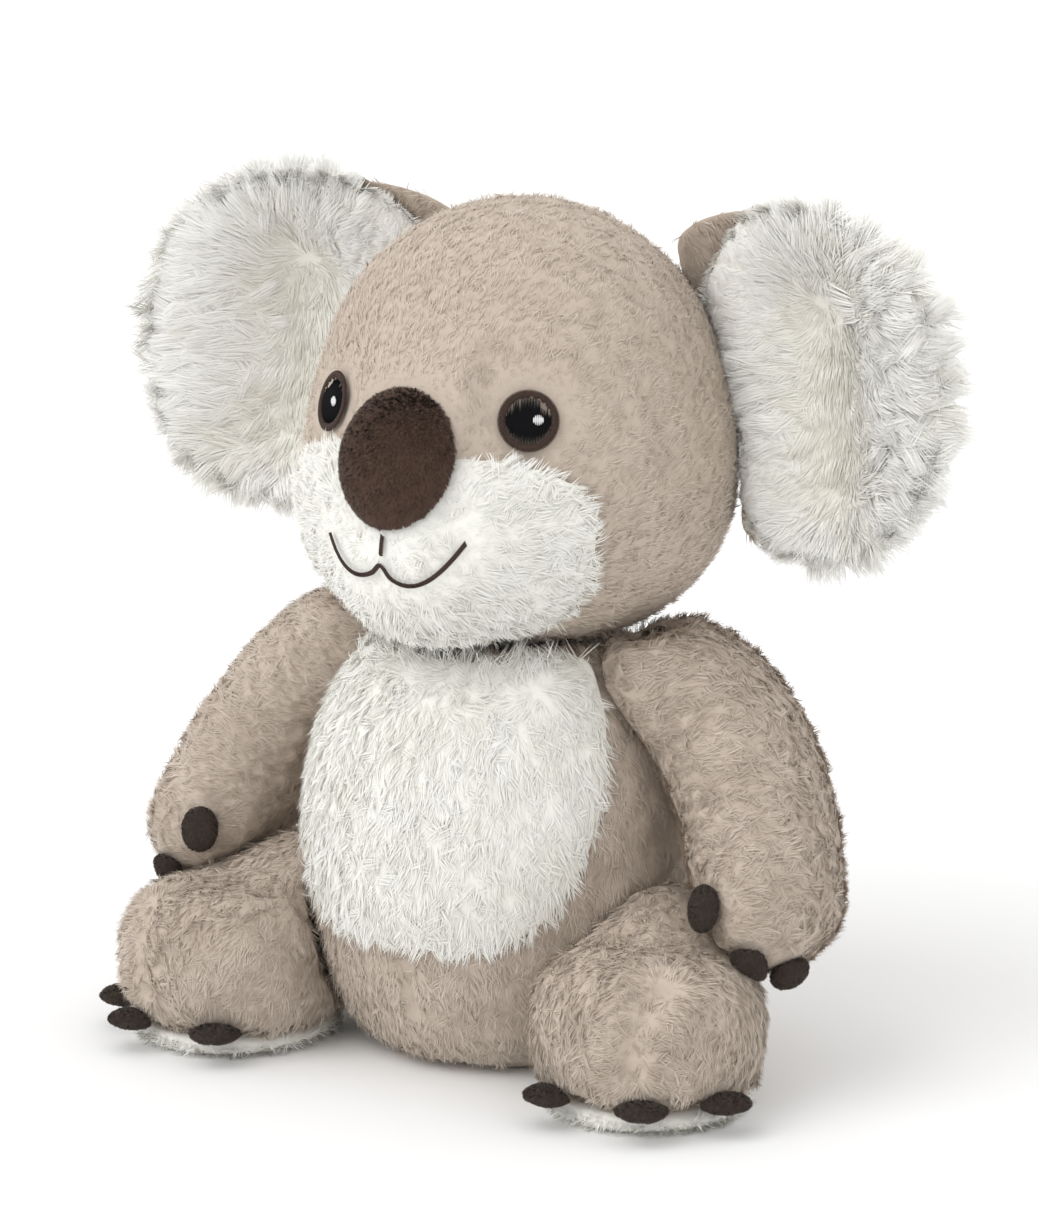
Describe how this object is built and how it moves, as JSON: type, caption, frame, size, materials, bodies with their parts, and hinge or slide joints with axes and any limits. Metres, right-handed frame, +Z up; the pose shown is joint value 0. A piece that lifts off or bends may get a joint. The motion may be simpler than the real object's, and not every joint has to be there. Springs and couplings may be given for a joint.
{
  "type": "plush koala",
  "caption": "Sitting plush koala with a round head, big dished ears, a white muzzle and belly, felt claws and soft limbs that yield at their seams.",
  "frame": {"origin": "centre of the flat seat under the torso, on the ground", "axes": "+Z up, -Y towards the koala's front, +X towards the koala's left"},
  "size_m": [0.2792, 0.1576, 0.2589],
  "materials": {
    "taupe_plush": "soft short pile",
    "white_plush": "soft long pile",
    "nose_velour": "velour",
    "claw_felt": "felt",
    "brown_thread": "satin stitch",
    "black_thread": "satin stitch",
    "white_thread": "satin stitch",
    "fibre_filling": "loose fibre",
    "pouch_cloth": "woven"
  },
  "bodies": {
    "torso": {"belly_panel": "white_plush", "pellet_pouch": "pouch_cloth", "torso_cover": "taupe_plush", "torso_filling": "fibre_filling"},
    "head": {"eye_glint_left": "white_thread", "eye_glint_right": "white_thread", "eye_pupil_left": "black_thread", "eye_pupil_right": "black_thread", "eye_ring_left": "brown_thread", "eye_ring_right": "brown_thread", "head_cover": "taupe_plush", "head_filling": "fibre_filling", "mouth_stitch": "brown_thread", "muzzle_panel": "white_plush", "nose": "nose_velour", "philtrum_stitch": "brown_thread"},
    "ear_left": {"ear_back_left": "taupe_plush", "ear_front_left": "white_plush"},
    "ear_right": {"ear_back_right": "taupe_plush", "ear_front_right": "white_plush"},
    "arm_left": {"arm_cover_left": "taupe_plush", "arm_filling_left": "fibre_filling", "hand_claw_inner_left": "claw_felt", "hand_claw_middle_left": "claw_felt", "hand_claw_outer_left": "claw_felt"},
    "arm_right": {"arm_cover_right": "taupe_plush", "arm_filling_right": "fibre_filling", "hand_claw_inner_right": "claw_felt", "hand_claw_middle_right": "claw_felt", "hand_claw_outer_right": "claw_felt"},
    "leg_left": {"leg_cover_left": "taupe_plush", "leg_filling_left": "fibre_filling", "sole_left": "white_plush", "toe_claw_inner_left": "claw_felt", "toe_claw_middle_left": "claw_felt", "toe_claw_outer_left": "claw_felt"},
    "leg_right": {"leg_cover_right": "taupe_plush", "leg_filling_right": "fibre_filling", "sole_right": "white_plush", "toe_claw_inner_right": "claw_felt", "toe_claw_middle_right": "claw_felt", "toe_claw_outer_right": "claw_felt"}
  },
  "joints": [
    {"name": "head_turn", "type": "hinge", "parent": "torso", "child": "head", "pos_m": [0, 0.01, 0.12884], "axis": [0, 0, 1], "range_deg": [-15, 15], "stiffness_Nm_per_rad": 0.4},
    {"name": "ear_fold_left", "type": "hinge", "parent": "head", "child": "ear_left", "pos_m": [0.05214, 0.04531, 0.20791], "axis": [0, 0, -1], "range_deg": [-15, 10], "stiffness_Nm_per_rad": 0.06},
    {"name": "ear_fold_right", "type": "hinge", "parent": "head", "child": "ear_right", "pos_m": [-0.05214, 0.04531, 0.20791], "axis": [0, 0, 1], "range_deg": [-15, 10], "stiffness_Nm_per_rad": 0.06},
    {"name": "arm_lift_left", "type": "hinge", "parent": "torso", "child": "arm_left", "pos_m": [0.03835, 0.00335, 0.1265], "axis": [-0.329, -0.9443, 0], "range_deg": [0, 30], "stiffness_Nm_per_rad": 0.3},
    {"name": "arm_lift_right", "type": "hinge", "parent": "torso", "child": "arm_right", "pos_m": [-0.03835, 0.00335, 0.1265], "axis": [-0.329, 0.9443, 0], "range_deg": [0, 30], "stiffness_Nm_per_rad": 0.3},
    {"name": "leg_swing_left", "type": "hinge", "parent": "torso", "child": "leg_left", "pos_m": [0.01548, 0, 0.031], "axis": [0, 0, 1], "range_deg": [-8, 1], "stiffness_Nm_per_rad": 0.5},
    {"name": "leg_swing_right", "type": "hinge", "parent": "torso", "child": "leg_right", "pos_m": [-0.01548, 0, 0.031], "axis": [0, 0, -1], "range_deg": [-8, 1], "stiffness_Nm_per_rad": 0.5}
  ]
}
